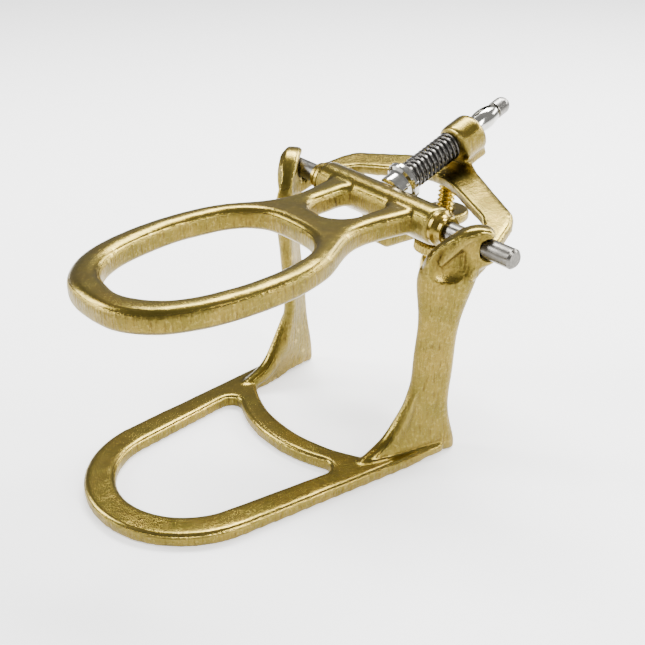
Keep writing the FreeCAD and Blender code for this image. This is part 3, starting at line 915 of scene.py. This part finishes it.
@dataclass
class StopScrewParts:
    """Stop screw with its thread and round knob, and the fluted lock nut."""

    foot: Triple = (0.0, 59.6, 59.4)
    tilt: float = 6.0
    top: float = -0.12
    radius: float = 2.45
    shank: float = 21.3
    pitch: float = 1.25
    thread: float = 0.62
    knob_radius: float = 4.8
    knob_length: float = 7.5
    nut_top: float = 17.0
    nut_radius: float = 7.2
    nut_thickness: float = 3.4
    nut_bore: float = 2.52
    flutes: int = 40
    flute_depth: float = 0.34
    screw_steps: int = 96
    thread_rows: int = 12
    flute_steps: int = 8
    nut_rows: int = 4

    def place(self, up: float) -> Matrix:
        """Matrix on the screw's axis at a height from the hinge.

        Args:
            up: Height in millimetres.

        Returns:
            The matrix.
        """
        tilt = math.radians(self.tilt)
        axis = Vector((0, math.sin(tilt), math.cos(tilt)))
        return axis_place(Vector(self.foot) + axis * (up / math.cos(tilt)), axis)

    def build(self, finishes: Finishes) -> None:
        """Make the screw and its nut.

        Args:
            finishes: The finishes.
        """
        self.build_screw(finishes.screw.make())
        self.build_nut(finishes.knurl.make())

    def build_screw(self, material: bpy.types.Material) -> None:
        """Turn the screw, cut its thread and stand it in place.

        Args:
            material: The screw's material.
        """
        radius, knob = self.radius, self.knob_radius
        head = -self.shank
        low = head - self.knob_length
        rows = int(self.shank / self.pitch * self.thread_rows)
        side = [(radius, -1.0 - (self.shank - 1.0) * k / rows) for k in range(rows + 1)]
        crown = [(knob - 1.5, head), (knob - 0.75, head - 0.35), (knob - 0.2, head - 1.2),
                 (knob, head - 2.4), (knob, low + 2.4), (knob - 0.2, low + 1.2),
                 (knob - 0.75, low + 0.4), (knob - 1.6, low)]
        profile = [(0, 0), (radius - 1.0, 0), (radius - 0.8, -0.1)] + side + crown + [(0, low)]
        mesh = lathe("threaded_stop_screw", profile, self.screw_steps)
        screw = link("threaded_stop_screw", mesh)
        sizes = {
            "Side": (radius - 0.1) * MM,
            "Depth": self.thread * MM,
            "Waves": 1.0,
            "Pitch": self.pitch * MM,
            "Low": (head + 0.2) * MM,
            "High": -0.9 * MM,
            "Fade": 0.8 * MM,
        }
        waved_side("screw thread", sizes, material).run(screw)
        self.settle(screw, self.place(self.top), material, Body.SCREW, "stop_screw")

    def build_nut(self, material: bpy.types.Material) -> None:
        """Turn the lock nut, cut its flutes and stand it in place.

        Args:
            material: The nut's material.
        """
        radius, drop = self.nut_radius, self.nut_thickness
        bore = self.nut_bore
        rows = self.nut_rows
        levels = [(radius, -0.5 - (drop - 1.0) * k / rows) for k in range(rows + 1)]
        ring = [(bore, 0), (radius - 1.3, 0), (radius - 0.8, -0.08), (radius - 0.25, -0.3)]
        foot = [(radius - 0.25, 0.3 - drop), (radius - 0.8, 0.08 - drop), (radius - 1.3, -drop),
                (bore, -drop)]
        profile = ring + levels + foot + [(bore, 0)]
        mesh = lathe("fluted_lock_nut", profile, self.flutes * self.flute_steps)
        nut = link("fluted_lock_nut", mesh)
        merge = bmesh.new()
        merge.from_mesh(mesh)
        bmesh.ops.remove_doubles(merge, verts=merge.verts, dist=MERGE)
        bmesh.ops.recalc_face_normals(merge, faces=merge.faces)
        merge.to_mesh(mesh)
        merge.free()
        sizes = {
            "Side": (radius - 0.6) * MM,
            "Depth": self.flute_depth * MM,
            "Waves": float(self.flutes),
            "Pitch": STRAIGHT,
            "Low": (-drop + 0.1) * MM,
            "High": -0.1 * MM,
            "Fade": 0.25 * MM,
        }
        waved_side("nut flutes", sizes, material).run(nut)
        self.settle(nut, self.place(-self.nut_top), material, Body.NUT, "lock_nut")

    def settle(
        self,
        piece: bpy.types.Object,
        place: Matrix,
        material: bpy.types.Material,
        body: Body,
        node: str,
    ) -> None:
        """Put a finished piece in place on its body.

        Args:
            piece: The object.
            place: Where it goes.
            material: Its material.
            body: The body that it rides on.
            node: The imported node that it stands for.
        """
        piece.data.transform(place)
        dress(piece, material)
        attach(piece, body.value)
        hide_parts(node)
        report(piece, body)


@dataclass
class HingeParts:
    """Cross axle and the two bushes in the barrel's ends."""

    bushes: tuple[str, ...] = ("left_bush", "right_bush")

    def build(self, finishes: Finishes) -> None:
        """Dress the axle and the bushes.

        Args:
            finishes: The finishes.
        """
        dress(frame["nodes"]["hinge_axle"], finishes.steel.make())
        brass = finishes.turned.make()
        for bush in self.bushes:
            dress(frame["nodes"][bush], brass)


# ---------------------------------------------------------------- studio


@dataclass(frozen=True)
class Softbox:
    """Rectangular lamp: its place in millimetres, size in metres and power in watts."""

    name: str
    place: Triple
    size: Span
    power: float


@dataclass
class Studio:
    """Pale floor, soft lights and the camera."""

    target: Triple = (-5.47, 20.06, 26.73)
    azimuth: float = 50.47
    elevation: float = 28.18
    roll: float = 0.26
    distance: float = 293.3
    lens: float = 60.95
    sensor: float = 36.0
    clip: Span = (0.01, 100.0)
    floor_half: float = 30.0
    floor_drop: float = 0.0002
    floor_glow: float = 0.95
    room_light: float = 0.40
    lamps: tuple[Softbox, ...] = (
        Softbox("top_softbox", (-140.0, 210.0, 470.0), (0.42, 0.16), 7.5),
        Softbox("front_left_softbox", (-420.0, -330.0, 300.0), (0.14, 0.40), 4.2),
        Softbox("right_softbox", (470.0, 60.0, 260.0), (0.12, 0.36), 3.0),
        Softbox("back_softbox", (80.0, 520.0, 330.0), (0.50, 0.14), 4.0),
    )

    def build(self) -> None:
        """Build the floor, lights and camera."""
        self.build_floor()
        self.build_world()
        for softbox in self.lamps:
            self.build_lamp(softbox)
        self.build_camera()

    def build_floor(self) -> None:
        """Lay a plain pale floor."""
        work = bmesh.new()
        bmesh.ops.create_grid(work, x_segments=1, y_segments=1, size=self.floor_half)
        mesh = bpy.data.meshes.new("floor")
        work.to_mesh(mesh)
        work.free()
        mesh.transform(Matrix.Translation((0, 0, -self.floor_drop)))
        floor = link("floor", mesh)
        material, _, shader = start_material("pale_floor")
        shader.inputs["Base Color"].default_value = (0.92, 0.92, 0.92, 1.0)
        shader.inputs["Roughness"].default_value = 0.9
        shader.inputs["Specular IOR Level"].default_value = 0.1
        shader.inputs["Emission Color"].default_value = (1.0, 1.0, 1.0, 1.0)
        shader.inputs["Emission Strength"].default_value = self.floor_glow
        mesh.materials.append(material)

    def build_world(self) -> None:
        """Light the room evenly and softly."""
        world = bpy.data.worlds.new("room")
        world.use_nodes = True
        sky = world.node_tree.nodes["Background"]
        sky.inputs["Color"].default_value = (1.0, 1.0, 1.0, 1.0)
        sky.inputs["Strength"].default_value = self.room_light
        bpy.context.scene.world = world

    def build_lamp(self, softbox: Softbox) -> None:
        """Hang one softbox that faces the object.

        Args:
            softbox: The lamp to hang.
        """
        lamp = bpy.data.lights.new(softbox.name, "AREA")
        lamp.shape = "RECTANGLE"
        lamp.size, lamp.size_y = softbox.size
        lamp.energy = softbox.power
        box = bpy.data.objects.new(softbox.name, lamp)
        box.location = Vector(softbox.place) * MM
        toward = Vector(self.target) * MM - box.location
        box.rotation_mode = "QUATERNION"
        box.rotation_quaternion = toward.to_track_quat("-Z", "Y")
        bpy.context.scene.collection.objects.link(box)

    def build_camera(self) -> None:
        """Set the camera at the view's angle."""
        around, up = math.radians(self.azimuth), math.radians(self.elevation)
        back = Vector((
            math.sin(around) * math.cos(up), -math.cos(around) * math.cos(up), math.sin(up)
        ))
        data = bpy.data.cameras.new("camera")
        data.lens = self.lens
        data.sensor_width = self.sensor
        data.clip_start, data.clip_end = self.clip
        camera = bpy.data.objects.new("camera", data)
        camera.location = (Vector(self.target) + back * self.distance) * MM
        camera.rotation_mode = "QUATERNION"
        level = (-back).to_track_quat("-Z", "Y")
        camera.rotation_quaternion = level @ Matrix.Rotation(
            math.radians(self.roll), 3, "Z"
        ).to_quaternion()
        bpy.context.scene.collection.objects.link(camera)
        bpy.context.scene.camera = camera


def build_object(finishes: Finishes, builders: Sequence[Callable[[Finishes], None]]) -> None:
    """Build every sub-assembly in order.

    Args:
        finishes: The finishes.
        builders: Build methods of the sub-assemblies.
    """
    for builder in builders:
        builder(finishes)


def main() -> None:
    """Build the articulator and its studio."""
    logging.basicConfig(level=logging.INFO, format="%(name)s: %(message)s")
    finishes = Finishes()
    Studio().build()
    lower = Casting(
        "lower_casting",
        ("lower_frame", "plunger_boss"),
        Body.LOWER,
        voxel=0.42,
        soften=12,
        ribs=(HOOK_FINGER, HEEL_SWEEP),
    )
    upper = Casting("upper_casting", ("upper_frame",), Body.UPPER, voxel=0.40, soften=14)
    for casting in (lower, upper):
        casting.build(finishes.cast)
    build_object(
        finishes, (HingeParts().build, PlungerParts().build, StopScrewParts().build)
    )


if __name__ == "__main__":
    main()
